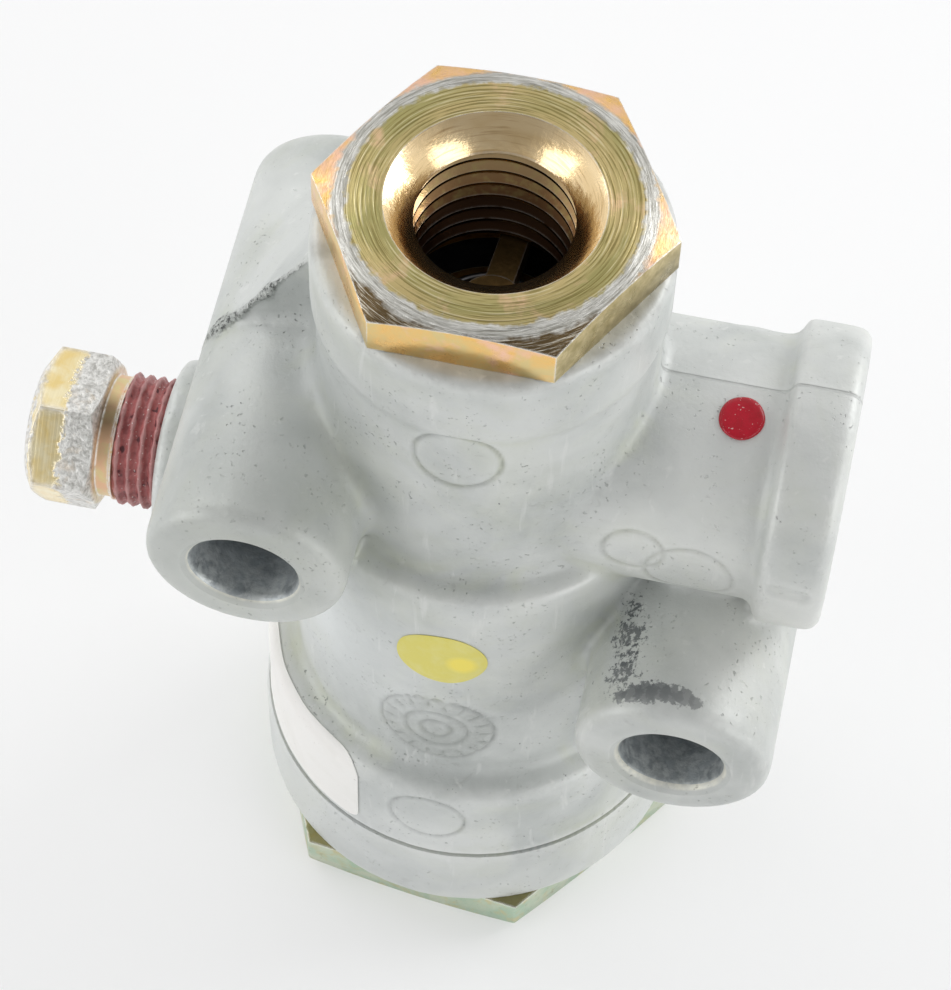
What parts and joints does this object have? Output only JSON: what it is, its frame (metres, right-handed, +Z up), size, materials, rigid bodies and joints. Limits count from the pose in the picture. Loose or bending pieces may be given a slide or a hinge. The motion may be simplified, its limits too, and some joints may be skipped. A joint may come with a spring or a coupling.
{
  "type": "pressure reducing valve",
  "caption": "Cast pressure reducing valve with a threaded port in its hexagonal top cap, a rimmed side port, a plugged side port, mounting bosses and a vented hexagonal bottom cap.",
  "frame": {"origin": "on the main axis at the underside of the bottom hexagon, where air leaves", "axes": "+Z up the main axis to the supply port, +X to the delivery port, mounting holes along Y"},
  "size_m": [0.0622, 0.036, 0.0781],
  "materials": {
    "cast_body": "satin cast with a pale passivated surface",
    "yellow_zinc": "turned steel with worn yellow zinc plating",
    "green_zinc": "steel with pale green and yellow zinc plating",
    "brass": "dull machined",
    "piston_metal": "machined",
    "spring_steel": "drawn wire",
    "seal_rubber": "matt black",
    "sealant": "dried brick red",
    "label_film": "off-white film"
  },
  "bodies": {
    "housing": {"body": "cast_body", "supply_cap": "yellow_zinc", "supply_cap_seal": "seal_rubber", "valve_guide": "brass", "valve_spring": "spring_steel", "outer_spring": "spring_steel", "inner_spring": "spring_steel", "lower_spring_seat": "spring_steel", "bottom_cap": "green_zinc", "bottom_cap_seal": "seal_rubber", "exhaust_flap": "seal_rubber", "flap_washer": "spring_steel", "flap_rivet": "brass", "port_plug": "yellow_zinc", "plug_sealant": "sealant", "label": "label_film"},
    "inlet_valve": {"inlet_valve": "brass", "inlet_valve_face": "seal_rubber"},
    "piston": {"piston": "piston_metal", "piston_seal": "seal_rubber", "upper_spring_seat": "spring_steel"}
  },
  "joints": [
    {"name": "valve_travel", "type": "slide", "parent": "housing", "child": "inlet_valve", "axis": [0, 0, -1], "range_m": [0, 0.0008], "stiffness_N_per_m": 60, "springref_m": -0.004, "deforming": ["valve_spring"]},
    {"name": "exhaust_travel", "type": "slide", "parent": "inlet_valve", "child": "piston", "axis": [0, 0, -1], "range_m": [0, 0.0015], "stiffness_N_per_m": 60, "springref_m": -0.004, "deforming": ["outer_spring", "inner_spring"]}
  ]
}
